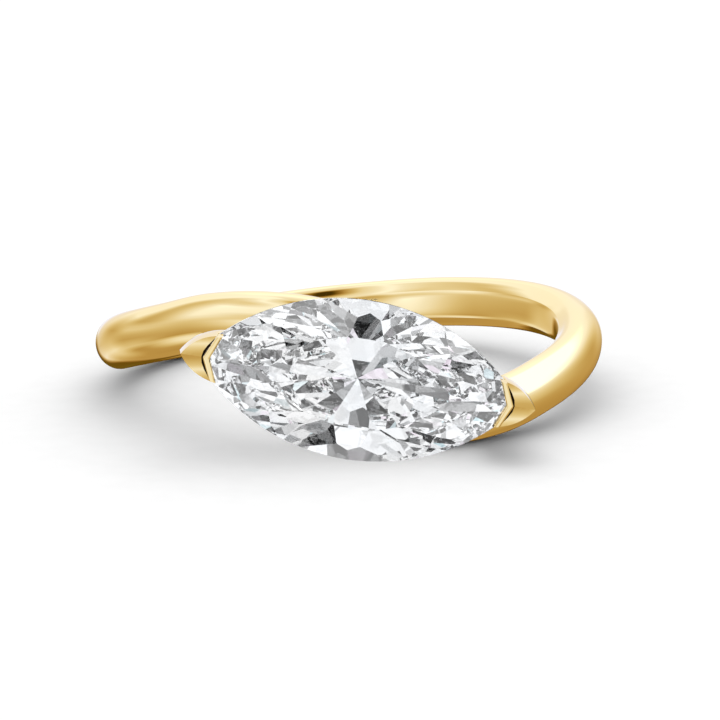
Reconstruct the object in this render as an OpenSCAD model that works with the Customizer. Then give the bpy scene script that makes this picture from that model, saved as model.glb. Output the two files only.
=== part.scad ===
// East west ring: a marquise stone held lengthwise across the finger by a V-prong on each tip,
// on a wavy bypass shank. One half turn about the stone's own axis turns the ring into itself.
// Frame: +Z is up, the ring lies on its side on z = 0 and the stone faces -Y.

/* [Finger] */
// Inside diameter of the shank
bore_d = 17.3; // [16:0.1:19]
// Smooth facets of the finger bore
bore_fn = 96; // [48:12:144]

/* [Shank] */
// Radial thickness of the shank
shank_t = 1.8; // [1.5:0.05:2]
// Width of the shank along the finger
shank_w = 2.2; // [2:0.05:2.5]
// Width of the flat that touches the finger, as a share of the width
flat_share = 0.5; // [0.44:0.02:0.7]
// Where the section is widest, as a share of the thickness
belly_share = 0.45; // [0.35:0.05:0.5]
// How far each arm swings away from the middle plane of the ring
swing = 2.2; // [1.9:0.05:2.4]

/* [Stone] */
// Length between the blunted tips
stone_l = 12; // [11.8:0.05:12.1]
// Width across the middle
stone_w = 6; // [5.6:0.1:6.2]
// Length at which the two side arcs would meet
arcs_l = 12.3; // [12.2:0.05:12.5]
// Height of the crown above the girdle
crown_h = 0.9; // [0.7:0.05:1.1]
// Depth of the pavilion below the girdle
pavilion_h = 2.5; // [2.2:0.05:2.6]
// Thickness of the girdle
girdle_t = 0.12; // [0.08:0.02:0.2]
// Size of the table, as a share of the outline
table_share = 0.56; // [0.5:0.02:0.64]
// Turn of the stone's long axis from the plane of the ring
stone_turn = 15; // [10:1:18]
// Distance from the finger's axis to the girdle
girdle_r = 12; // [11.9:0.05:12.4]

/* [Prongs] */
// Clearance between the stone and its metal
seat_gap = 0.05; // [0.03:0.01:0.08]
// Distance from the stone's centre to the inside corner of the V
lip_at = 5.61; // [5.55:0.01:5.7]
// Width of the lip that folds over the tip
lip_w = 0.22; // [0.18:0.02:0.3]
// Height of the lip above the middle of the girdle
lip_h = 0.6; // [0.5:0.05:0.8]
// Half width of the prong across the tip
prong_w = 0.92; // [0.86:0.02:1.1]
// Distance from the stone's centre to the prong's outer point
prong_at = 6.6; // [6.5:0.05:6.8]
// Height of the dished face where it leaves the lip
dish_top = 0.42; // [0.35:0.01:0.5]
// Height of the dished face at the outer point
dish_end = -0.05; // [-0.2:0.01:0.1]
// Radius of the dished face
dish_r = 2; // [1.5:0.1:3]

/* [Lie] */
// Angle by which the front of the ring is lifted as it lies
lift_front = 4.77; // [4:0.01:6]
// Angle by which the right side of the ring is lifted as it lies
lift_side = 5.44; // [4:0.01:6]

/* [Hidden] */

bore_r = bore_d / 2;
// Steps of the sweep along one arm, and of each curve of its section
arm_steps = 40;
dome_steps = 4;

// One arm, from its end inside the other arm to the back of the ring. Angles run from the
// middle of the front, and heights, widths and thicknesses are shares of the full ones.
AT = 0;
HEIGHT = 1;
WIDE = 2;
THICK = 3;
ARM = [ // at, height, width, thickness
    [-33, -0.95, 0.5, 0.72],
    [-20, -0.22, 0.6, 0.78],
    [-8, 0.4, 0.76, 0.85],
    [5, 0.8, 0.95, 0.96],
    [20, 1, 1, 1],
    [35, 1, 1, 1],
    [50, 0.82, 1, 1],
    [70, 0.58, 1, 1],
    [90, 0.32, 1, 1],
    [120, 0.09, 1, 1],
    [150, 0, 1, 1],
    [180, 0, 1, 1]
];
arm_from = ARM[0][AT];
arm_to = 180;

// The sweep reaches a little into the finger bore, by more at the end that lies inside the
// other arm, and the bore is then cut through both
sunk = 0.15;
sunk_more = 0.1;
sunk_till = 15;

// Soft edge between the flat and the belly, from the flat outward
EDGE = [ // outward as a share of the belly's height, across as a share of the shoulder
    [0.22, 0.38],
    [0.56, 0.8]
];
// Share of the flat's half width at which the section starts inside the bore
flat_in = 0.7;

// Slope of a column at row i, from the rows on either side; flat at the back of the ring
function slope(i, c) =
    i == 0 ? (ARM[1][c] - ARM[0][c]) / (ARM[1][AT] - ARM[0][AT]) :
    i == len(ARM) - 1 ? 0 :
    (ARM[i + 1][c] - ARM[i - 1][c]) / (ARM[i + 1][AT] - ARM[i - 1][AT]);

// Smooth curve through the two rows i and i + 1, and its steepness per degree
function between(i, c, a) =
    let (d = ARM[i + 1][AT] - ARM[i][AT], t = (a - ARM[i][AT]) / d)
    (2 * t ^ 3 - 3 * t ^ 2 + 1) * ARM[i][c] + (t ^ 3 - 2 * t ^ 2 + t) * d * slope(i, c)
    + (3 * t ^ 2 - 2 * t ^ 3) * ARM[i + 1][c] + (t ^ 3 - t ^ 2) * d * slope(i + 1, c);
function steepness(i, c, a) =
    let (d = ARM[i + 1][AT] - ARM[i][AT], t = (a - ARM[i][AT]) / d)
    (6 * t ^ 2 - 6 * t) / d * (ARM[i][c] - ARM[i + 1][c])
    + (3 * t ^ 2 - 4 * t + 1) * slope(i, c) + (3 * t ^ 2 - 2 * t) * slope(i + 1, c);

// Row that starts the stretch in which angle a lies, and the value of a column there
function row_of(a, i = 0) = i == len(ARM) - 2 || a < ARM[i + 1][AT] ? i : row_of(a, i + 1);
function arm(c, a) = between(row_of(a), c, a);

// Half of the section from inside the finger bore round to the crest, as [outward, across]
function half_section(w, t, inside) =
    let (flat = w / 2 * flat_share, shoulder = w / 2 - flat, belly = belly_share * t)
    concat(
        [[-inside, flat_in * flat]],
        [for (e = EDGE) [e[0] * belly, flat + e[1] * shoulder]],
        [for (k = [0 : dome_steps - 1]) let (f = 90 * k / dome_steps)
            [belly + (t - belly) * sin(f), w / 2 * cos(f)]]
    );
function section(w, t, inside) = let (half = half_section(w, t, inside), n = len(half)) concat(
    half, [[t, 0]], [for (k = [n - 1 : -1 : 0]) [half[k][0], -half[k][1]]]
);
section_n = len(section(1, 1, 0));

// Section points at angle a of the left arm, square to its run and laid on the cylinder
function station(a) =
    let (
        middle = bore_r + shank_t / 2,
        lean = atan2(swing * steepness(row_of(a), HEIGHT, a), middle * PI / 180),
        inside = sunk + sunk_more * max(0, 1 - a / sunk_till)
    )
    [for (p = section(shank_w * arm(WIDE, a), shank_t * arm(THICK, a), inside))
        let (r = bore_r + p[0], b = a - p[1] * sin(lean) / middle * 180 / PI)
        [-r * sin(b), -r * cos(b), swing * arm(HEIGHT, a) + p[1] * cos(lean)]];

arm_points = [for (i = [0 : arm_steps]) each station(arm_from + (arm_to - arm_from) * i / arm_steps)];

// Half the outline of the stone at distance x from its middle: one circular arc
function arc_y(x, l, w) = let (r = (l * l + w * w) / (4 * w)) sqrt(r * r - x * x) - (r - w / 2);

// Points round the stone's outline grown by g: a share of its full size, at height z, with a
// point on both long sides for each place. A place is an angle, 0 in the middle and 90 at the tip.
function ring_points(g, share, z, places) =
    let (a = stone_l / 2 + g)
    [for (f = places, side = [-1, 1])
        let (x = a * sin(f)) [share * x, side * share * arc_y(x, arcs_l + 2 * g, stone_w + 2 * g), z]];

girdle_places = [-90 : 15 : 90];
star_places = [-90, -45, 0, 45, 90];
kite_places = [-67.5, -22.5, 22.5, 67.5];
// Upper points of the kites, as shares of the outline and of the crown
kite_share = 0.8;
kite_up = 0.55;
// Points where the mains meet the lower facets, as shares of the outline and the pavilion
main_share = 0.45;
main_down = 0.6;
// Half the length of the keel
keel = 0.25;

// The cut from the table down: star facets to the kites, kites to the girdle, the girdle's
// flat rim, the long lower facets and the mains that meet in the keel. Grown by g.
module gem(g = 0) {
    up = girdle_t / 2 + g;
    down = -girdle_t / 2 - g;
    low = down - pavilion_h - 0.3 * g;
    points = concat(
        ring_points(g, table_share, up + crown_h, star_places),
        ring_points(g, kite_share, up + kite_up * crown_h, kite_places),
        ring_points(g, 1, up, girdle_places),
        ring_points(g, 1, down, girdle_places),
        ring_points(g, main_share, down - main_down * pavilion_h, kite_places),
        [[-keel, 0, low], [keel, 0, low]]
    );
    hull()
        polyhedron(points = points, faces = [[for (i = [0 : len(points) - 1]) i]]);
}

// From the stone's own axes, long axis X and table +Z, to its place on the ring
module on_ring()
    translate([0, -girdle_r, 0]) rotate([0, stone_turn, 0]) rotate([90, 0, 0]) children();

// Outline of a prong on one side, from under the stone to its outer point
SIDE = [ // before the point in mm, half width as a share of the full one
    [1.2, 1],
    [0.85, 0.88],
    [0.5, 0.6],
    [0.2, 0.27]
];
// Half width of the prong's foot, and how far the foot stands back from the outer point
foot_w = 0.45;
foot_in = 0.5;
// How far the foot and the head reach in under the stone, and the depth of the head's rim
foot_back = 5;
head_back = 4.95;
head_down = 0.5;
// How far the foot is shifted across, towards the middle of its arm, and sunk in the arm
foot_off = 0.15;
foot_down = 0.6;
// How far the legs of the V run back from its corner, and past the prong's width
leg_back = 0.33;
leg_past = 0.15;
// Width of the lip at the ends of the legs, as a share of its width at the corner
leg_thin = 0.8;

// Plan of a prong: a pointed arch round the stone's tip
module prong_plan(half, point, back) {
    side = concat([[back, half]], [for (p = SIDE) [point - p[0], p[1] * half]]);
    polygon(concat(
        [for (p = side) [p[0], -p[1]]],
        [[point, 0]],
        [for (k = [len(side) - 1 : -1 : 0]) side[k]]
    ));
}

// The V of the prongs as seen from the front: its corner, and where its legs end
corner = [lip_at, 0];
leg = [lip_at - leg_back, prong_w + leg_past];
other_leg = [leg[0], -leg[1]];

// Lip that folds over the tip
module lip_plan() {
    wide = [lip_w, 0];
    polygon([corner, leg, leg + leg_thin * wide, corner + wide, other_leg + leg_thin * wide, other_leg]);
}

// Centre of the dish, worked out from the two ends of its arc
dish_run = [prong_at - lip_at - lip_w, dish_end - dish_top];
dish_middle = [lip_at + lip_w, dish_top] + dish_run / 2
    + [-dish_run[1], dish_run[0]] / norm(dish_run) * sqrt(dish_r ^ 2 - norm(dish_run) ^ 2 / 4);

// Prong at the stone's +X tip: a post from the arm that closes over the tip
module prong() {
    clear = 2;
    difference() {
        hull() {
            translate([0, 0, -head_down])
                linear_extrude(head_down + lip_h) prong_plan(prong_w, prong_at, head_back);
            translate([0, -foot_off, bore_r - girdle_r - foot_down])
                linear_extrude(0.1) prong_plan(foot_w, prong_at - foot_in, foot_back);
        }
        // Dished face outside the lip
        difference() {
            translate([dish_middle[0], 0, dish_middle[1]]) rotate([90, 0, 0])
                cylinder(r = dish_r, h = 2 * clear, center = true, $fn = 96);
            translate([0, 0, -clear]) linear_extrude(2 * clear) lip_plan();
        }
        // Open space over the stone, up to the V
        linear_extrude(clear)
            polygon([[stone_l / 3, -leg[1]], other_leg, corner, leg, [stone_l / 3, leg[1]]]);
    }
}

// One arm of the shank with the prong that it carries, the left one
module half_shank() {
    last = arm_steps * section_n;
    polyhedron(
        points = arm_points,
        faces = concat(
            [for (j = [1 : section_n - 2]) [0, j + 1, j]],
            [for (j = [1 : section_n - 2]) [last, last + j, last + j + 1]],
            [for (i = [0 : arm_steps - 1], j = [0 : section_n - 1])
                let (k = (j + 1) % section_n, p = i * section_n, q = p + section_n)
                each [[p + j, p + k, q + j], [p + k, q + k, q + j]]]
        )
    );
    rotate([0, 180, 0]) on_ring() prong();
}

// Height over the floor direction, as the ring lies, of a point in the ring's own axes
function height(p) =
    cos(lift_front) * (p[0] * sin(lift_side) + p[2] * cos(lift_side)) - p[1] * sin(lift_front);
rest_h = -min([for (p = arm_points, s = [-1, 1]) height([s * p[0], p[1], s * p[2]])]);

// From the ring's own axes, finger along Z, to how it lies. The origin is where the
// finger's axis meets the surface under the ring.
module lie()
    rotate([-lift_front, 0, 0]) rotate([0, -lift_side, 0])
        translate([0, 0, rest_h / height([0, 0, 1])]) children();

module shank()
    color("goldenrod")
    lie()
    difference() {
        union() {
            half_shank();
            rotate([0, 180, 0]) half_shank();
        }
        cylinder(r = bore_r, h = 30, center = true, $fn = bore_fn);
        on_ring() gem(seat_gap);
    }

module stone()
    color("whitesmoke")
    lie() on_ring() gem();

shank();
stone();
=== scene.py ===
"""East west ring: the polished band with its two V-prongs, and the cut marquise stone."""

import math

import bmesh
import bpy
from mathutils import Matrix, Vector


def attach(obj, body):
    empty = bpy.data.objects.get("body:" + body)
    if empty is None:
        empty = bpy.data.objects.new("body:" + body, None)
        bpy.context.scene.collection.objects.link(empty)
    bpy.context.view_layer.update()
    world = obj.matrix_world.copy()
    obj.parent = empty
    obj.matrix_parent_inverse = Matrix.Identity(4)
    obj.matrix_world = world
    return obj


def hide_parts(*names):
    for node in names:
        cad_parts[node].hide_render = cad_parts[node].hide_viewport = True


bl_info = {
    "name": "East west ring",
    "version": (1, 0, 0),
    "blender": (4, 5, 0),
    "location": "View3D > Sidebar > Ring",
    "description": "Wavy bypass band whose two V-prongs hold a marquise stone across the finger",
    "category": "Add Mesh",
}

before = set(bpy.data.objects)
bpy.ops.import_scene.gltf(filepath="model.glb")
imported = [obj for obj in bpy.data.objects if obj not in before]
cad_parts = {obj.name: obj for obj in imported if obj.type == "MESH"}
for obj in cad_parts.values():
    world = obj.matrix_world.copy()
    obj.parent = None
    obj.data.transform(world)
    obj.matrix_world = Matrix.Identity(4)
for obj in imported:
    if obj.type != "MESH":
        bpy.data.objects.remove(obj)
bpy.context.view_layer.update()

# The pieces are modelled in millimetres in the ring's own axes, finger along Z and stone towards
# -Y, and are then laid down and brought to metres
MM = 0.001
# The ring rests on its lower arm and the back of its upper arm: how far that tips it at the front
# and to the side, and how high it brings the middle of the finger hole
LIFT_FRONT = math.radians(4.77)
LIFT_SIDE = math.radians(5.44)
REST_HEIGHT = 2.232
LIE = (
    Matrix.Scale(MM, 4)
    @ Matrix.Rotation(-LIFT_FRONT, 4, "X")
    @ Matrix.Rotation(-LIFT_SIDE, 4, "Y")
    @ Matrix.Translation((0, 0, REST_HEIGHT / (math.cos(LIFT_FRONT) * math.cos(LIFT_SIDE))))
)

# One arm of the band, from its end inside the other arm to the back of the ring: angle from the
# middle of the front, then height out of the ring's plane, width and thickness as shares
ARM = (
    (-33, -0.95, 0.5, 0.72),
    (-20, -0.22, 0.6, 0.78),
    (-8, 0.4, 0.76, 0.85),
    (5, 0.8, 0.95, 0.96),
    (20, 1, 1, 1),
    (35, 1, 1, 1),
    (50, 0.82, 1, 1),
    (70, 0.58, 1, 1),
    (90, 0.32, 1, 1),
    (120, 0.09, 1, 1),
    (150, 0, 1, 1),
    (180, 0, 1, 1),
)
HEIGHT, WIDTH, THICKNESS = 1, 2, 3
ARM_STEPS = 96
SECTION_SIDES = 32
# The section's inner side is pressed to the wall of the finger hole: the share of the band's
# thickness that this takes in, and the share of its depth that stays
INSIDE_DEPTH, INSIDE_KEPT = 0.09, 0.3
# Distances in millimetres: how far one arm's end runs into the other's, and within which points are
# merged on the arms and on the finished shank
ARM_OVERLAP = 0.02
ARM_MERGE, SHANK_MERGE = 0.002, 0.001
# Tolerances in millimetres: for a point on a cutting plane, for corners of facets that are merged,
# and for a point on the seam at the back
CUT_NEAR, FACET_MERGE, SEAM_NEAR = 1e-5, 1e-4, 1e-3
# A face counts as level when its normal's height is over this
LEVEL = 0.9
# Faces that meet at less than this are shaded as one surface
SMOOTH_ANGLE = math.radians(14)

# The post under a prong, in millimetres: from the lip's inside corner to its back, the length at
# which its side arcs would meet, its straight depth below the girdle, and how far below the top of
# the finger hole its foot is, which lies inside the arm there
POST_BACK, POST_ARCS, POST_STRAIGHT, POST_SUNK = 0.66, 3.4, 0.5, 0.6
POST_SIDES = 96
# Shares of its outline that are left on top, and shares of the width that each step down leaves
POST_TOP = (0.94, 0.88, 1)
POST_STEPS = (0.85, 0.7, 0.82)
# Each step also moves back by millimetres, gets shorter to a share, and narrows about a line that
# lies millimetres aside, towards its own arm
POST_LEAN, POST_SHORTER, POST_ASIDE = -0.05, 0.95, -0.15
# How far the lip's legs run past the sides of the post, in millimetres, the share of their width
# that they lose on the way, and the height that the lip starts from
LEG_SPARE, LEG_LOSS, LIP_ROOT = 0.15, 0.2, -0.4
# The crease along each leg: places as shares of the leg from the corner outwards, and its width
# there as a share of the crease's full width
CREASE_RUN = ((0.7, 0), (0.4, 0.8), (0.2, 1))
CREASE_CORNER = 0.5
# How high above the girdle the cutting tools reach and how near to the stone's centre, in
# millimetres
TOOL_TOP, TOOL_INNER = 2, 3
BALL_SIDES, BALL_RINGS = 96, 64

# The blank of the stone: sides of each arc, and spare depth below the pavilion in millimetres
STONE_SIDES, STONE_SPARE = 384, 0.5

# What each finish shows, as real widths in metres
BUFFING_MARKS = 0.00004
WHEEL_ROLLS, ROLL_HEIGHT = 0.0012, 0.000002
# Patches of the painted shade in the crease
SHADE_PAINT_PATCHES = 0.0001
GROWTH_ZONES = 0.0015
CARD_PULP = 0.0005


def linear(hex_colour):
    """An sRGB hex colour as linear red, green, blue and alpha."""
    parts = [int(hex_colour[i : i + 2], 16) / 255 for i in (1, 3, 5)]
    return [c / 12.92 if c <= 0.04045 else ((c + 0.055) / 1.055) ** 2.4 for c in parts] + [1.0]


def arm_value(column, angle):
    """A column of ARM at any angle, on a smooth curve through the rows."""
    i = max(k for k in range(len(ARM) - 1) if angle >= ARM[k][0] or k == 0)

    def slope(k):
        """Rise of the curve at a row, level at the back of the ring."""
        if k == len(ARM) - 1:
            return 0.0
        a, b = ARM[max(k - 1, 0)], ARM[k + 1]
        return (b[column] - a[column]) / (b[0] - a[0])

    step = ARM[i + 1][0] - ARM[i][0]
    t = (angle - ARM[i][0]) / step
    return (
        (2 * t**3 - 3 * t**2 + 1) * ARM[i][column]
        + (t**3 - 2 * t**2 + t) * step * slope(i)
        + (3 * t**2 - 2 * t**3) * ARM[i + 1][column]
        + (t**3 - t**2) * step * slope(i + 1)
    )


# Modelling helpers


def only(piece):
    """Selects one object and makes it active, with everything else deselected."""
    if bpy.context.object and bpy.context.object.mode != "OBJECT":
        bpy.ops.object.mode_set(mode="OBJECT")
    bpy.ops.object.select_all(action="DESELECT")
    piece.select_set(True)
    bpy.context.view_layer.objects.active = piece


def added(name):
    """The primitive that was just added, named, with its place in its mesh."""
    piece = bpy.context.object
    piece.name = piece.data.name = name
    only(piece)
    bpy.ops.object.transform_apply(location=True, rotation=True, scale=True)
    return piece


def clear():
    """Deselects all, so that the next primitive is added on its own."""
    bpy.ops.object.select_all(action="DESELECT")


def shape(piece):
    """Opens one object in edit mode."""
    only(piece)
    bpy.ops.object.mode_set(mode="EDIT")


def finish_shape():
    """Goes back to object mode."""
    bpy.ops.object.mode_set(mode="OBJECT")


def pick(piece, test, kind="verts"):
    """In edit mode, selects the verts, edges or faces that pass a test and nothing else."""
    mode = {"verts": "VERT", "edges": "EDGE", "faces": "FACE"}[kind]
    bpy.ops.mesh.select_mode(type=mode)
    bpy.ops.mesh.select_all(action="DESELECT")
    mesh = bmesh.from_edit_mesh(piece.data)
    for part in getattr(mesh, kind):
        if test(part):
            part.select_set(True)
    mesh.select_flush_mode()
    bmesh.update_edit_mesh(piece.data)


def modifier(piece, kind, **settings):
    """Adds a modifier with its settings and applies it."""
    only(piece)
    step = piece.modifiers.new(kind.lower(), kind)
    for key, value in settings.items():
        setattr(step, key, value)
    bpy.ops.object.modifier_apply(modifier=step.name)


def cut(piece, tool, operation="DIFFERENCE"):
    """Cuts, joins or crosses a piece with a tool solid, which is then deleted. The new faces keep
    the tool's material."""
    modifier(
        piece,
        "BOOLEAN",
        object=tool,
        operation=operation,
        solver="MANIFOLD",
        material_mode="TRANSFER",
    )
    bpy.data.objects.remove(tool)


def copy_of(piece, name):
    """A copy of a piece, with its own mesh."""
    twin = piece.copy()
    twin.data = piece.data.copy()
    twin.name = twin.data.name = name
    bpy.context.collection.objects.link(twin)
    return twin


def moved(piece, matrix):
    """Moves a piece by a matrix and keeps its place in its mesh."""
    only(piece)
    piece.matrix_world = matrix
    bpy.ops.object.transform_apply(location=True, rotation=True, scale=True)
    return piece


def joined(pieces):
    """Several pieces as one object, side by side and not fused."""
    only(pieces[0])
    for piece in pieces[1:]:
        piece.select_set(True)
    bpy.ops.object.join()
    return pieces[0]


def prism(name, outline, low, high):
    """A straight prism over an outline of (x, y) points."""
    clear()
    # All its corners start in the middle, and each is then moved out to its place
    bpy.ops.mesh.primitive_circle_add(vertices=len(outline), radius=0, fill_type="NGON")
    piece = added(name)
    shape(piece)
    for k, (x, y) in enumerate(outline):
        pick(piece, lambda v: v.index == k)
        bpy.ops.transform.translate(value=(x, y, low))
    bpy.ops.mesh.select_all(action="SELECT")
    bpy.ops.mesh.extrude_region_move(TRANSFORM_OT_translate={"value": (0, 0, high - low)})
    bpy.ops.mesh.select_all(action="SELECT")
    bpy.ops.mesh.normals_make_consistent(inside=False)
    finish_shape()
    return piece


def arc_radius(long, wide):
    """Radius of the two arcs that bound an outline with a point at each end."""
    return (long * long + wide * wide) / (4 * wide)


def lens_blank(name, long, wide, low, high, sides):
    """A prism whose outline is two circular arcs that meet in a point at each end."""
    radius = arc_radius(long, wide)
    halves = []
    for side in (-1, 1):
        clear()
        bpy.ops.mesh.primitive_cylinder_add(
            vertices=sides,
            radius=radius,
            depth=high - low,
            location=(0, side * (radius - wide / 2), (high + low) / 2),
        )
        halves.append(added(name))
    cut(halves[0], halves[1], "INTERSECT")
    return halves[0]


# Materials


def add_node(tree, kind, settings=(), links=()):
    """Adds a shader node, sets its properties and input values, and links its inputs."""
    node = tree.nodes.new(kind)
    for key, value in dict(settings).items():
        if isinstance(key, int) or key in node.inputs:
            node.inputs[key].default_value = value
        else:
            setattr(node, key, value)
    for key, source in dict(links).items():
        tree.links.new(source, node.inputs[key])
    return node


# Sockets of a Mix node that mixes colours
FACTOR, LOW, HIGH, MIXED = 0, 6, 7, 2


def new_material(name):
    """A new material and its empty node tree."""
    material = bpy.data.materials.new(name)
    material.use_nodes = True
    material.node_tree.nodes.clear()
    return material, material.node_tree


def noise_scale(width):
    """The scale at which a noise texture's clouds are about this wide, in metres."""
    return 0.5 / width


def gold_plate(look):
    """Silver with a bright yellow gold plate, buffed on a wheel: a mirror that is a little uneven
    where the wheel has rolled over the casting, with a haze of marks about 0.04 mm wide."""
    material, tree = new_material("gold_plated_silver")
    place = add_node(tree, "ShaderNodeTexCoord").outputs["Object"]
    marks = add_node(
        tree,
        "ShaderNodeTexNoise",
        {"Scale": noise_scale(BUFFING_MARKS), "Detail": 2.0},
        {"Vector": place},
    )
    # The marks raise and lower the roughness by 30%
    haze = add_node(
        tree,
        "ShaderNodeMapRange",
        {
            "From Min": 0.3,
            "From Max": 0.7,
            "To Min": 0.7 * look.gold_roughness,
            "To Max": 1.3 * look.gold_roughness,
        },
        {"Value": marks.outputs["Fac"]},
    )
    rolls = add_node(
        tree,
        "ShaderNodeTexNoise",
        {"Scale": noise_scale(WHEEL_ROLLS), "Detail": 1.0},
        {"Vector": place},
    )
    uneven = add_node(
        tree,
        "ShaderNodeBump",
        {"Strength": 1.0, "Distance": ROLL_HEIGHT},
        {"Height": rolls.outputs["Fac"]},
    )
    # The plate is 3% deeper in colour where more was worn off
    plate = add_node(
        tree,
        "ShaderNodeMix",
        {
            "data_type": "RGBA",
            LOW: [0.97 * c for c in look.gold] + [1.0],
            HIGH: list(look.gold) + [1.0],
        },
        {FACTOR: rolls.outputs["Fac"]},
    )
    metal = add_node(
        tree,
        "ShaderNodeBsdfPrincipled",
        {"Metallic": 1.0, "Specular Tint": list(look.gold_edge) + [1.0]},
        {
            "Base Color": plate.outputs[MIXED],
            "Roughness": haze.outputs["Result"],
            "Normal": uneven.outputs["Normal"],
        },
    )
    add_node(tree, "ShaderNodeOutputMaterial", (), {"Surface": metal.outputs["BSDF"]})
    return material


def mottled(tree, width, low, high):
    """A colour that wanders between two, in clouds of about the given width in metres."""
    place = add_node(tree, "ShaderNodeTexCoord").outputs["Object"]
    cloud = add_node(
        tree,
        "ShaderNodeTexNoise",
        {"Scale": noise_scale(width), "Detail": 2.0},
        {"Vector": place},
    )
    share = add_node(
        tree,
        "ShaderNodeMapRange",
        {"From Min": 0.35, "From Max": 0.65},
        {"Value": cloud.outputs["Fac"]},
    )
    colour = add_node(
        tree,
        "ShaderNodeMix",
        {"data_type": "RGBA", LOW: list(low) + [1.0], HIGH: list(high) + [1.0]},
        {FACTOR: share.outputs["Result"]},
    )
    return colour.outputs[MIXED]


def mottled_material(name, settings, width, low, high):
    """A material with even values of its own and a mottled colour."""
    material, tree = new_material(name)
    surface = add_node(
        tree,
        "ShaderNodeBsdfPrincipled",
        settings,
        {"Base Color": mottled(tree, width, low, high)},
    )
    add_node(tree, "ShaderNodeOutputMaterial", (), {"Surface": surface.outputs["BSDF"]})
    return material


def painted_crease_shade(look):
    """Painted shade for the crease at the foot of each lip: a dull dark brown that stands in for
    the shade falling in the crease, patchy over 0.1 mm."""
    return mottled_material(
        "spent_buffing_compound",
        {"Roughness": 0.8, "Specular IOR Level": 0.1},
        SHADE_PAINT_PATCHES,
        [0.4 * c for c in look.shade_paint],
        look.shade_paint,
    )


def cut_stone(look):
    """Clear lab-grown stone, cut and polished on a flat lap: high refraction, and growth zones
    about 1.5 mm wide that are cooler by a trace."""
    return mottled_material(
        "clear_cut_stone",
        {"Transmission Weight": 1.0, "Roughness": 0.0, "IOR": look.stone_ior},
        GROWTH_ZONES,
        [c * share for c, share in zip(look.stone, (0.93, 0.96, 1.0))],
        look.stone,
    )


def floor_card(look):
    """Matt white card under and behind the ring, with the cloud of its pulp about 0.5 mm wide."""
    return mottled_material(
        "matt_white_card",
        {"Roughness": 0.9, "Specular IOR Level": 0.0},
        CARD_PULP,
        [0.985 * c for c in look.floor],
        look.floor,
    )


# Light

# How bright a side of the tent is, by angle above the floor. The camera's dark hood closes the top
# of every side
ZENITH = ((79, 0.84), (84, 0.5), (87.5, 0.06))
BEHIND = (
    (-90, 0.5), (-40, 0.5), (-32, 0.15), (-14, 0.15), (-9, 0.92), (1, 0.9), (9, 0.93), (16, 0.98),
    (50, 1.02),
)
FRONT = (
    (-90, 0.45), (-50, 0.52), (-32, 0.5), (-20, 0.56), (-10, 0.76), (-4, 0.95), (2, 0.8),
    (10, 0.62), (24, 0.58), (34, 0.9), (66, 1.0),
)
# The tent's sides as the polished metal mirrors them: the compass angle of each one's middle, 0
# towards the viewer and 90 to the right, then its brightness
TENT = (
    (-180, BEHIND),
    (-168, BEHIND),
    (
        -158,
        (
            (-90, 0.5), (-45, 0.5), (-36, 0.6), (-26, 0.92), (-16, 0.72), (-8, 0.8), (0, 0.88),
            (10, 0.97), (70, 1.0),
        ),
    ),
    (
        -139,
        (
            (-90, 0.4), (-50, 0.5), (-38, 0.75), (-28, 0.92), (-20, 0.77), (-13, 0.7), (-7, 0.64),
            (-2, 0.58), (3, 0.66), (9, 0.78), (16, 0.97), (70, 1.0),
        ),
    ),
    (
        -120,
        (
            (-90, 0.4), (-60, 0.5), (-40, 0.5), (-32, 0.76), (-26, 0.7), (-17, 0.56), (-10, 0.62),
            (-1, 0.8), (5, 0.76), (12, 0.6), (18, 0.62), (27, 0.68), (44, 0.71), (56, 0.8),
            (66, 0.92), (72, 1.0),
        ),
    ),
    (
        -80,
        (
            (-90, 0.4), (-66, 0.5), (-59, 0.72), (-54, 0.92), (-45, 0.95), (-38, 0.88), (-33, 0.66),
            (-30, 0.5), (-20, 0.56), (-6, 0.68), (3, 0.76), (12, 0.91), (19, 0.97), (45, 1.0),
            (54, 0.84), (60, 0.8), (70, 1.0),
        ),
    ),
    (
        -35,
        (
            (-90, 0.5), (-50, 0.72), (-36, 0.86), (-24, 0.76), (-12, 0.96), (0, 1.0), (8, 0.8),
            (18, 0.8), (28, 0.96), (66, 1.0),
        ),
    ),
    (-18, FRONT),
    (25, FRONT),
    (
        85,
        (
            (-90, 0.4), (-60, 0.6), (-33, 0.5), (-24, 0.52), (-14, 0.57), (-6, 0.68), (6, 0.8),
            (15, 0.92), (22, 1.1), (66, 1.1),
        ),
    ),
    (
        135,
        (
            (-90, 0.4), (-30, 0.48), (-14, 0.54), (5, 0.56), (11, 0.63), (17, 0.76), (23, 0.93),
            (34, 1.1), (66, 1.1),
        ),
    ),
    (
        158,
        (
            (-90, 0.4), (-34, 0.48), (-22, 0.4), (-12, 0.5), (0, 0.8), (14, 0.93), (26, 0.99),
            (36, 1.1), (66, 1.1),
        ),
    ),
    (168, BEHIND),
)
BRIGHTEST = 1.1
# The linear colour of the tent's cards by their brightness: brown board at the dark end, cool
# daylight at the bright end. A ramp holds no colour over 1, so it gets them divided by HEADROOM
TENT_TINT = (
    (0.0, (0.0, 0.0, 0.0)),
    (0.153, (0.16, 0.10, 0.01)),
    (0.30, (0.31, 0.20, 0.055)),
    (0.406, (0.42, 0.30, 0.12)),
    (0.525, (0.547, 0.43, 0.228)),
    (0.613, (0.64, 0.56, 0.376)),
    (0.718, (0.748, 0.717, 0.61)),
    (0.834, (0.869, 0.91, 1.02)),
    (0.938, (0.977, 1.12, 1.6)),
    (0.991, (1.1, 1.32, 2.1)),
    (1.1, (1.9, 2.3, 3.2)),
)
HEADROOM = 4.0
# What the stone sees through its facets: cards of many greys, by the share of them that are darker
CARD_GREYS = (
    (0.0, 0.0),
    (0.16, 0.015),
    (0.28, 0.1),
    (0.41, 0.34),
    (0.53, 0.7),
    (0.66, 1.0),
)
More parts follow.
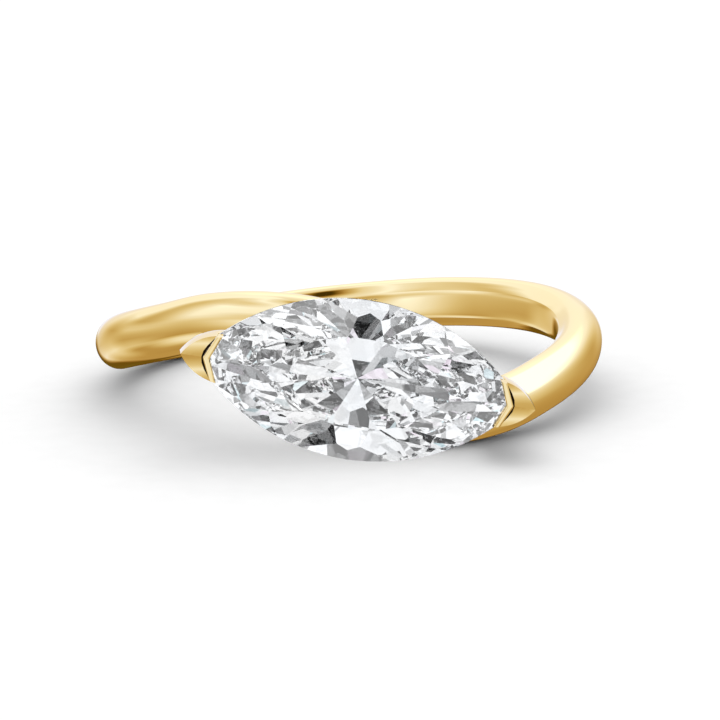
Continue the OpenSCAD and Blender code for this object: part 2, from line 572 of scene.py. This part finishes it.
# Cards that throw a faint tint, as the stone splits light: cyan at one end, rose at the other
CARD_TINTS = ((0.0, "#D6F1F6"), (0.07, "#FFFFFF"), (0.94, "#FFFFFF"), (1.0, "#F8E9F5"))
# The cards are drawn out along the stone and lie a little askew
CARD_SCALE, CARD_STRETCH, CARD_TURN = 9.0, (0.6, 1.0, 1.0), (0, -0.26, 0)
# Strength of the light as the floor gets it, as the stone shows it, and as the camera sees it past
# the floor
WHITE_STRENGTH, STONE_STRENGTH, BACKDROP_STRENGTH = 0.91, 1.22, 1.0
FLOOR_SIDE = 4
# The softbox above and behind the ring: place and side in metres, power in watts
SOFTBOX_PLACE, SOFTBOX_SIDE, SOFTBOX_POWER = (-0.01, 0.1, 0.27), 0.4, 0.33
# The photo's view: where the camera is and what it aims at, in millimetres, and its lens
VIEW_PLACE = (-3.338, -107.170, 26.0)
VIEW_AIM = (0.247, -0.037, 1.283)
VIEW_LENS, VIEW_SENSOR = 132.3, 36


def set_steps(ramp, rows):
    """Gives a colour ramp its steps, from rows of place and linear colour, or brightness."""
    steps = ramp.color_ramp.elements
    for k, (place, colour) in enumerate(rows):
        step = steps[k] if k < len(steps) else steps.new(place)
        step.position = place
        step.color = (*colour, 1) if isinstance(colour, tuple) else (colour, colour, colour, 1)
    return ramp.outputs["Color"]


def tent_mirrored(tree, ways):
    """The tent's light by direction, as the polished metal mirrors it."""
    way = add_node(tree, "ShaderNodeSeparateXYZ", (), {"Vector": ways})
    rise = add_node(tree, "ShaderNodeMath", {"operation": "ARCSINE"}, {0: way.outputs["Z"]})
    height = add_node(
        tree,
        "ShaderNodeMapRange",
        {"From Min": -math.pi / 2, "From Max": math.pi / 2},
        {"Value": rise.outputs["Value"]},
    )
    ahead = add_node(
        tree, "ShaderNodeMath", {"operation": "MULTIPLY", 1: -1.0}, {0: way.outputs["Y"]}
    )
    compass = add_node(
        tree,
        "ShaderNodeMath",
        {"operation": "ARCTAN2"},
        {0: way.outputs["X"], 1: ahead.outputs["Value"]},
    )
    tent, last = None, None
    for angle, rows in TENT:
        ramp = add_node(tree, "ShaderNodeValToRGB", (), {"Fac": height.outputs["Result"]})
        side = set_steps(ramp, [((a + 90) / 180, b / BRIGHTEST) for a, b in rows + ZENITH])
        if tent:
            share = add_node(
                tree,
                "ShaderNodeMapRange",
                {
                    "interpolation_type": "SMOOTHSTEP",
                    "From Min": math.radians(last),
                    "From Max": math.radians(angle),
                },
                {"Value": compass.outputs["Value"]},
            )
            side = add_node(
                tree,
                "ShaderNodeMix",
                {"data_type": "RGBA"},
                {FACTOR: share.outputs["Result"], LOW: tent, HIGH: side},
            ).outputs[MIXED]
        tent, last = side, angle
    tinted = add_node(tree, "ShaderNodeValToRGB", (), {"Fac": tent})
    return set_steps(
        tinted, [(b / BRIGHTEST, tuple(c / HEADROOM for c in tint)) for b, tint in TENT_TINT]
    )


def cards_in_stone(tree, ways):
    """Cards of many greys by direction, as the stone's facets show them."""
    drawn = add_node(
        tree,
        "ShaderNodeMapping",
        {"Scale": CARD_STRETCH, "Rotation": CARD_TURN},
        {"Vector": ways},
    )
    cards = add_node(
        tree,
        "ShaderNodeTexVoronoi",
        {"Scale": CARD_SCALE, "Randomness": 1.0},
        {"Vector": drawn.outputs["Vector"]},
    )
    card = add_node(tree, "ShaderNodeSeparateColor", (), {"Color": cards.outputs["Color"]})
    greys = add_node(tree, "ShaderNodeValToRGB", (), {"Fac": card.outputs["Red"]})
    tints = add_node(tree, "ShaderNodeValToRGB", (), {"Fac": card.outputs["Green"]})
    tinted = add_node(
        tree,
        "ShaderNodeMix",
        {"data_type": "RGBA", "blend_type": "MULTIPLY", FACTOR: 1.0},
        {
            LOW: set_steps(greys, CARD_GREYS),
            HIGH: set_steps(tints, [(share, tuple(linear(c)[:3])) for share, c in CARD_TINTS]),
        },
    )
    return tinted.outputs[MIXED]


def studio_tent():
    """A light tent round the ring, as metal, stone, floor and camera each see it."""
    world = bpy.data.worlds.new("light_tent")
    world.use_nodes = True
    world.cycles.sampling_method = "NONE"
    tree = world.node_tree
    tree.nodes.clear()
    ways = add_node(tree, "ShaderNodeTexCoord").outputs["Generated"]
    path = add_node(tree, "ShaderNodeLightPath")
    # The floor gets plain white light, also by way of the metal
    direct = add_node(
        tree,
        "ShaderNodeMath",
        {"operation": "SUBTRACT", "use_clamp": True},
        {0: path.outputs["Is Glossy Ray"], 1: path.outputs["Diffuse Depth"]},
    )
    white = {"Color": linear("#FFFFFF")}
    light = add_node(
        tree, "ShaderNodeBackground", {**white, "Strength": WHITE_STRENGTH}
    ).outputs["Background"]
    for ray, links, strength in (
        (direct.outputs["Value"], {"Color": tent_mirrored(tree, ways)}, HEADROOM),
        (path.outputs["Is Singular Ray"], {"Color": cards_in_stone(tree, ways)}, STONE_STRENGTH),
        (path.outputs["Is Camera Ray"], {}, BACKDROP_STRENGTH),
    ):
        shade = add_node(tree, "ShaderNodeBackground", {**white, "Strength": strength}, links)
        mix = add_node(
            tree, "ShaderNodeMixShader", (), {0: ray, 1: light, 2: shade.outputs["Background"]}
        )
        light = mix.outputs["Shader"]
    add_node(tree, "ShaderNodeOutputWorld", (), {"Surface": light})
    return world


# Sizes and looks


def length(name, description, default):
    """A length in metres."""
    return bpy.props.FloatProperty(
        name=name, description=description, default=default, unit="LENGTH", precision=5
    )


def hue(name, description, default):
    """A colour, from its sRGB hex value."""
    return bpy.props.FloatVectorProperty(
        name=name, description=description, default=linear(default)[:3], subtype="COLOR",
        min=0, max=1,
    )


class RingSizes(bpy.types.PropertyGroup):
    """Real sizes of the band, its prongs and the stone."""

    bore: length("Finger hole", "Inside diameter of the band", 0.0173)
    thickness: length("Thickness", "Radial thickness of the band", 0.0018)
    width: length("Width", "Width of the band along the finger", 0.0022)
    swing: length("Swing", "How far an arm swings out of the ring's plane", 0.0022)
    belly: bpy.props.FloatProperty(
        name="Belly", description="Where the section is widest, as a share of its thickness",
        default=0.45, subtype="FACTOR", min=0.2, max=0.8,
    )
    stone_length: length("Stone length", "Length of the stone between its tips", 0.012)
    stone_width: length("Stone width", "Width of the stone across its middle", 0.006)
    arcs_length: length("Arcs", "Length at which the stone's side arcs would meet", 0.0123)
    crown: length("Crown", "Height of the crown above the girdle", 0.0009)
    pavilion: length("Pavilion", "Depth of the pavilion below the girdle", 0.0025)
    girdle: length("Girdle", "Thickness of the girdle", 0.00012)
    girdle_radius: length("Girdle distance", "From the finger's axis to the girdle", 0.012)
    stone_turn: bpy.props.FloatProperty(
        name="Stone turn", description="Turn of the stone's long axis from the ring's plane",
        default=math.radians(15), subtype="ANGLE",
    )
    seat_gap: length("Seat gap", "Clearance between the stone and its metal", 0.00003)
    lip_corner: length("Lip corner", "From the stone's centre to the V's inside corner", 0.00556)
    lean: length("Lip lean", "How far a leg of the V runs back from its corner", 0.00046)
    lip_width: length("Lip width", "Width of the lip that folds over the tip", 0.00025)
    lip_height: length("Lip height", "Height of the lip above the girdle", 0.00064)
    prong_half: length("Prong half width", "Half width of a prong across the tip", 0.00098)
    prong_point: length("Prong point", "From the stone's centre to a prong's outer point", 0.0067)
    dish_low: length("Dish low", "Height of the dished faces at the foot of the lip", 0.00036)
    dish_apart: length("Dish apart", "From a prong's middle to a dished face's middle", 0.00048)
    dish_radius: length("Dish radius", "Radius of the dished faces", 0.003)
    crease: length("Crease", "Width of the crease at the foot of the lip", 0.00012)
    crease_depth: length("Crease depth", "Depth of the crease below the dished faces", 0.00012)
    edge: length("Edge rounding", "Rounding that buffing leaves on the lip's edges", 0.00006)


class RingLook(bpy.types.PropertyGroup):
    """Colours and finishes."""

    gold: hue("Gold", "Colour of the gold plate", "#FADA93")
    gold_edge: hue("Gold edge", "Tint of the gold plate where it turns away", "#FFF3D8")
    gold_roughness: bpy.props.FloatProperty(
        name="Gold roughness", description="Roughness of the polish", subtype="FACTOR",
        default=0.04, min=0, max=1,
    )
    # The dark colour painted into the crease as shade
    shade_paint: hue("Crease_shade", "Colour of the spent compound in a crease", "#3A2408")
    stone: hue("Stone", "Colour of the stone", "#FFFFFF")
    stone_ior: bpy.props.FloatProperty(
        name="Stone refraction", description="Index of refraction of the stone",
        default=2.65, min=1.3, max=3,
    )
    floor: hue("Floor", "Colour of the card under the ring", "#F8F8F8")


class Millimetres:
    """The ring's sizes read in millimetres."""

    def __init__(self, sizes):
        self.sizes = sizes

    def __getattr__(self, name):
        value = getattr(self.sizes, name)
        return value if name in ("belly", "stone_turn") else value / MM


# Band


def band_section(mm):
    """The band's rounded section with its flat inside, standing at the front of the ring."""
    bore = mm.bore / 2
    belly = mm.belly * mm.thickness
    clear()
    bpy.ops.mesh.primitive_circle_add(
        vertices=SECTION_SIDES,
        radius=mm.width / 2,
        fill_type="NOTHING",
        location=(0, -bore - belly, 0),
        rotation=(0, math.pi / 2, 0),
    )
    section = added("shank")
    shape(section)
    for side, depth in ((-1, mm.thickness - belly), (1, belly)):
        pick(section, lambda v: side * (v.co.y + bore + belly) > CUT_NEAR)
        bpy.ops.transform.resize(
            value=(1, depth / (mm.width / 2), 1), center_override=(0, -bore - belly, 0)
        )
    pick(section, lambda v: v.co.y > -bore - INSIDE_DEPTH * mm.thickness)
    bpy.ops.transform.resize(value=(1, INSIDE_KEPT, 1), center_override=(0, -bore, 0))
    finish_shape()
    return section


def at_angle(vertex, angle):
    """Whether a vertex lies within 0.3 degrees of an angle round the ring, counted from the middle
    of the front to the left."""
    found = math.degrees(math.atan2(-vertex.co.x, -vertex.co.y))
    return abs((found - angle + 180) % 360 - 180) < 0.3


def band_arm(mm):
    """One arm: the section spun round the finger hole, then raised and drawn in along its run."""
    arm = band_section(mm)
    start, end = ARM[0][0], ARM[-1][0]
    moved(arm, Matrix.Rotation(math.radians(-start), 4, "Z"))
    shape(arm)
    bpy.ops.mesh.select_all(action="SELECT")
    bpy.ops.mesh.spin(
        steps=ARM_STEPS, angle=math.radians(end - start), center=(0, 0, 0), axis=(0, 0, 1)
    )
    pick(arm, lambda v: at_angle(v, start))
    bpy.ops.mesh.edge_face_add()
    bore = mm.bore / 2
    for k in range(ARM_STEPS + 1):
        angle = start + (end - start) * k / ARM_STEPS
        turn = math.radians(angle)
        pick(arm, lambda v: at_angle(v, angle))
        thin = arm_value(THICKNESS, angle)
        bpy.ops.transform.resize(
            value=(thin, thin, arm_value(WIDTH, angle)),
            center_override=(-bore * math.sin(turn), -bore * math.cos(turn), 0),
        )
        bpy.ops.transform.translate(value=(0, 0, mm.swing * arm_value(HEIGHT, angle)))
    finish_shape()
    return arm


def at_back(vertex):
    """Whether a vertex lies on the seam at the back of the ring."""
    return abs(vertex.co.x) < SEAM_NEAR and vertex.co.y > 0


def band_arms(mm):
    """Both arms, the second one half a turn about the stone's axis from the first. They are
    smoothed as one run and parted again at the back, so that each is a closed solid."""
    arm = band_arm(mm)
    other = moved(copy_of(arm, "other_arm"), Matrix.Rotation(math.pi, 4, "Y"))
    both = joined([arm, other])
    shape(both)
    bpy.ops.mesh.select_all(action="SELECT")
    bpy.ops.mesh.remove_doubles(threshold=ARM_MERGE)
    bpy.ops.mesh.normals_make_consistent(inside=False)
    finish_shape()
    modifier(both, "SUBSURF", levels=1, render_levels=1)
    shape(both)
    pick(both, lambda edge: all(at_back(v) for v in edge.verts), "edges")
    bpy.ops.mesh.edge_split(type="EDGE")
    bpy.ops.mesh.select_non_manifold(extend=False)
    bpy.ops.mesh.fill_holes(sides=0)
    bpy.ops.mesh.separate(type="LOOSE")
    finish_shape()
    arms = list(bpy.context.selected_objects)
    # One arm's end runs a hair into the other's, so that they fuse cleanly
    longer = next(a for a in arms if a.bound_box[0][0] < -mm.bore / 2)
    shape(longer)
    pick(longer, at_back)
    bpy.ops.transform.translate(value=(ARM_OVERLAP, 0, 0))
    finish_shape()
    return arms


# Prongs


def on_ring(mm):
    """From the stone's axes, long axis X and table up, to its place on the ring."""
    return (
        Matrix.Translation((0, -mm.girdle_radius, 0))
        @ Matrix.Rotation(mm.stone_turn, 4, "Y")
        @ Matrix.Rotation(math.pi / 2, 4, "X")
    )


def prong_post(mm):
    """The post of a prong: two arcs that meet in a point outwards, flat at the back, and narrower
    step by step down to the band."""
    back = mm.lip_corner - POST_BACK
    post = lens_blank(
        "prong", POST_ARCS, 2 * mm.prong_half, -POST_STRAIGHT, mm.lip_height, POST_SIDES
    )
    moved(post, Matrix.Translation((mm.prong_point - POST_ARCS / 2, 0, 0)))
    shape(post)
    pick(post, lambda f: f.normal.z > LEVEL, "faces")
    bpy.ops.transform.resize(value=POST_TOP, center_override=(mm.lip_corner, 0, 0))
    bpy.ops.mesh.select_all(action="SELECT")
    bpy.ops.mesh.bisect(
        plane_co=(back, 0, 0),
        plane_no=(1, 0, 0),
        use_fill=True,
        clear_inner=True,
        threshold=CUT_NEAR,
    )
    foot = mm.bore / 2 - mm.girdle_radius - POST_SUNK
    drop = (foot + POST_STRAIGHT) / len(POST_STEPS)
    for width in POST_STEPS:
        pick(post, lambda f: f.normal.z < -LEVEL, "faces")
        bpy.ops.mesh.extrude_region_move(TRANSFORM_OT_translate={"value": (POST_LEAN, 0, drop)})
        bpy.ops.transform.resize(
            value=(POST_SHORTER, width, 1), center_override=(back, POST_ASIDE, 0)
        )
    bpy.ops.mesh.select_all(action="SELECT")
    bpy.ops.mesh.normals_make_consistent(inside=False)
    finish_shape()
    return post


def prong(mm, seat, gold, shade_paint):
    """A post that closes over the +X tip: a raised V lip, and a dished face outside it."""
    corner, wide = mm.lip_corner, mm.lip_width
    leg = (corner - mm.lean, mm.prong_half + LEG_SPARE)
    post = prong_post(mm)
    post.data.materials.append(gold)
    blank = copy_of(post, "blank")

    # Both dished faces are ground with a ball
    balls = []
    for side in (-1, 1):
        clear()
        bpy.ops.mesh.primitive_uv_sphere_add(
            segments=BALL_SIDES,
            ring_count=BALL_RINGS,
            radius=mm.dish_radius,
            location=(corner + wide, side * mm.dish_apart, mm.dish_low + mm.dish_radius),
        )
        balls.append(added("ball"))
    cut(balls[0], balls[1], "UNION")
    cut(post, balls[0])

    # A narrow crease runs along the foot of the lip and fades out on both legs
    def foot(share, off):
        """A point along the foot of the lip, and so far out from it."""
        return (corner + wide - share * (mm.lean + LEG_LOSS * wide) + off, share * leg[1])

    upper = [foot(share, width * mm.crease) for share, width in CREASE_RUN]
    lower = [(x, -y) for x, y in reversed(upper)]
    crease = prism(
        "crease",
        [foot(0, 0)] + upper + [foot(0, CREASE_CORNER * mm.crease)] + lower,
        mm.dish_low - mm.crease_depth,
        TOOL_TOP,
    )
    # The crease's faces get the dark paint that stands in for the shade there
    crease.data.materials.append(shade_paint)
    cut(post, crease)

    # The stone's side of the V is cut free
    over = prism(
        "over",
        [(TOOL_INNER, -leg[1]), (leg[0], -leg[1]), (corner, 0), leg, (TOOL_INNER, leg[1])],
        0,
        TOOL_TOP,
    )
    cut(post, over)

    # The V lip stands proud, with its edges rounded
    outside = leg[0] + (1 - LEG_LOSS) * wide
    lip = prism(
        "lip",
        [
            (corner, 0),
            leg,
            (outside, leg[1]),
            (corner + wide, 0),
            (outside, -leg[1]),
            (leg[0], -leg[1]),
        ],
        LIP_ROOT,
        mm.lip_height,
    )
    modifier(lip, "BEVEL", width=mm.edge, segments=3, limit_method="ANGLE")
    cut(lip, blank, "INTERSECT")
    cut(post, lip, "UNION")
    cut(post, seat)
    return post


# Stone

# Where facets lie along the outline, in degrees: 0 in the middle of a side and 90 at a tip
MAIN_PLACES = (22.5, 67.5)
STAR_PLACES = (0, 45, 90)
HALF_PLACES = (11.25, 33.75, 56.25, 78.75)
# Each tier of the cut: the places of its facets, then the two points that they pass through, each
# as a share of the outline and a share of the crown's height or the pavilion's depth
TIERS = (
    (MAIN_PLACES, 1, 0, 0.56, 1),  # crown mains
    (HALF_PLACES, 1, 0, 0.8, 0.55),  # upper halves
    (STAR_PLACES, 0.8, 0.56, 0.56, 1),  # stars round the table
    (HALF_PLACES, 1, 0, 0.62, -0.4),  # lower halves
    (STAR_PLACES, 0.85, -0.15, 0.4, -0.61),  # upper keel
    (MAIN_PLACES, 0.62, -0.4, 0.25, -0.77),  # pavilion mains
    (STAR_PLACES, 0.32, -0.7, 0.03, -1),  # culet facets
)


def cut_gem(mm, name):
    """The stone: a blank ground plane by plane, as on a lap, in the stone's own axes."""
    rim = mm.girdle / 2
    low = -rim - mm.pavilion - STONE_SPARE
    gem = lens_blank(name, mm.arcs_length, mm.stone_width, low, rim + mm.crown, STONE_SIDES)
    radius = arc_radius(mm.arcs_length, mm.stone_width)
    shape(gem)

    def grind(point, normal):
        """Takes off all that lies outside a plane."""
        bpy.ops.mesh.select_all(action="SELECT")
        bpy.ops.mesh.bisect(
            plane_co=point,
            plane_no=normal,
            use_fill=True,
            clear_outer=True,
            threshold=CUT_NEAR,
        )

    for end in (-1, 1):
        grind((end * mm.stone_length / 2, 0, 0), (end, 0, 0))
    for places, share_a, high_a, share_b, high_b in TIERS:
        crown = high_a + high_b > 0
        zero, depth = (rim, mm.crown) if crown else (-rim, mm.pavilion)
        for place in places:
            x = mm.stone_length / 2 * math.sin(math.radians(place))
            y = math.sqrt(radius**2 - x * x) - (radius - mm.stone_width / 2)
            outward = Vector((x, y + radius - mm.stone_width / 2, 0)).normalized()
            # At a tip one facet serves both sides, square to the stone's length
            if place == 90:
                outward = Vector((1, 0, 0))
            along = Vector((-outward.y, outward.x, 0))
            a = Vector((share_a * x, share_a * y, zero + high_a * depth))
            b = Vector((share_b * x, share_b * y, zero + high_b * depth))
            normal = along.cross(b - a).normalized()
            if normal.dot(outward) < 0:
                normal.negate()
            # The same facet in the other quarters of the stone
            for sx in (-1, 1) if place > 0 else (1,):
                for sy in (-1, 1) if place < 90 else (1,):
                    turn = Vector((sx, sy, 1))
                    grind(a * turn, normal * turn)
    bpy.ops.mesh.select_all(action="SELECT")
    bpy.ops.mesh.remove_doubles(threshold=FACET_MERGE)
    bpy.ops.mesh.normals_make_consistent(inside=False)
    finish_shape()
    return gem


# Operators, one for each piece and one for the stage


class RING_OT_shank(bpy.types.Operator):
    """Makes the band with its two prongs, soldered into one piece"""

    bl_idname = "ring.shank"
    bl_label = "Band and prongs"

    def execute(self, context):
        mm = Millimetres(context.scene.ring_sizes)
        look = context.scene.ring_look
        gold = gold_plate(look)
        shank, other = band_arms(mm)
        shank.data.materials.append(gold)
        cut(shank, other, "UNION")
        seat = cut_gem(mm, "seat")
        moved(seat, Matrix.Scale(1 + mm.seat_gap / (mm.stone_width / 2), 4))
        right = prong(mm, seat, gold, painted_crease_shade(look))
        moved(right, on_ring(mm))
        left = moved(copy_of(right, "left_prong"), Matrix.Rotation(math.pi, 4, "Y"))
        posts = joined([right, left])
        cut(shank, posts, "UNION")
        shape(shank)
        bpy.ops.mesh.select_all(action="SELECT")
        bpy.ops.mesh.remove_doubles(threshold=SHANK_MERGE)
        bpy.ops.mesh.delete_loose(use_verts=True, use_edges=True, use_faces=False)
        finish_shape()
        moved(shank, LIE)
        shank.name = shank.data.name = "gold_shank"
        only(shank)
        bpy.ops.object.shade_smooth_by_angle(angle=SMOOTH_ANGLE)
        # The photo shows no metal mirrored in the metal or the stone
        shank.visible_transmission = shank.visible_glossy = False
        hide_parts("shank")
        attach(shank, "root")
        return {"FINISHED"}


class RING_OT_stone(bpy.types.Operator):
    """Cuts the marquise stone and sets it between the prongs"""

    bl_idname = "ring.stone"
    bl_label = "Stone"

    def execute(self, context):
        mm = Millimetres(context.scene.ring_sizes)
        stone = cut_gem(mm, "cut_stone")
        moved(stone, LIE @ on_ring(mm))
        only(stone)
        bpy.ops.object.shade_flat()
        stone.data.materials.clear()
        stone.data.materials.append(cut_stone(context.scene.ring_look))
        # The floor is lit through it
        stone.visible_shadow = stone.visible_diffuse = False
        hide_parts("stone")
        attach(stone, "root")
        return {"FINISHED"}


class RING_OT_stage(bpy.types.Operator):
    """Lays the pale floor, and sets the soft light and the camera"""

    bl_idname = "ring.stage"
    bl_label = "Stage"

    def execute(self, context):
        scene = context.scene
        clear()
        bpy.ops.mesh.primitive_plane_add(size=FLOOR_SIDE)
        floor = added("floor")
        floor.data.materials.append(floor_card(scene.ring_look))
        floor.visible_glossy = floor.visible_transmission = False

        scene.world = studio_tent()
        clear()
        bpy.ops.object.light_add(type="AREA", location=SOFTBOX_PLACE)
        lamp = context.object
        lamp.name = lamp.data.name = "back_softbox"
        lamp.data.size = SOFTBOX_SIDE
        lamp.data.energy = SOFTBOX_POWER
        lamp.visible_glossy = lamp.visible_transmission = False
        lamp.rotation_euler = (-Vector(SOFTBOX_PLACE)).to_track_quat("-Z", "Y").to_euler()

        clear()
        aim = Vector(VIEW_AIM) * MM
        place = Vector(VIEW_PLACE) * MM
        bpy.ops.object.camera_add(location=place)
        camera = context.object
        camera.name = camera.data.name = "photo_view"
        camera.rotation_euler = (aim - place).to_track_quat("-Z", "Y").to_euler()
        camera.data.lens = VIEW_LENS
        camera.data.sensor_width = VIEW_SENSOR
        camera.data.clip_start = 0.005
        camera.data.clip_end = 20
        scene.camera = camera
        scene.view_settings.view_transform = "Standard"
        scene.cycles.caustics_reflective = False
        # Light turns many times inside the stone before it comes out
        scene.cycles.max_bounces = scene.cycles.transmission_bounces = 32
        scene.cycles.glossy_bounces = 24
        return {"FINISHED"}


class RING_PT_panel(bpy.types.Panel):
    """Lists the ring's pieces, sizes and looks"""

    bl_idname = "RING_PT_panel"
    bl_label = "East west ring"
    bl_space_type = "VIEW_3D"
    bl_region_type = "UI"
    bl_category = "Ring"

    def draw(self, context):
        column = self.layout.column()
        for operator in (RING_OT_shank, RING_OT_stone, RING_OT_stage):
            column.operator(operator.bl_idname)
        for group in (context.scene.ring_sizes, context.scene.ring_look):
            for name in group.bl_rna.properties.keys():
                if name not in ("rna_type", "name"):
                    column.prop(group, name)


CLASSES = (RingSizes, RingLook, RING_OT_shank, RING_OT_stone, RING_OT_stage, RING_PT_panel)


def register():
    for cls in CLASSES:
        bpy.utils.register_class(cls)
    bpy.types.Scene.ring_sizes = bpy.props.PointerProperty(type=RingSizes)
    bpy.types.Scene.ring_look = bpy.props.PointerProperty(type=RingLook)


def unregister():
    del bpy.types.Scene.ring_look
    del bpy.types.Scene.ring_sizes
    for cls in reversed(CLASSES):
        bpy.utils.unregister_class(cls)


def main():
    register()
    bpy.ops.ring.shank()
    bpy.ops.ring.stone()
    bpy.ops.ring.stage()


if __name__ == "__main__":
    main()
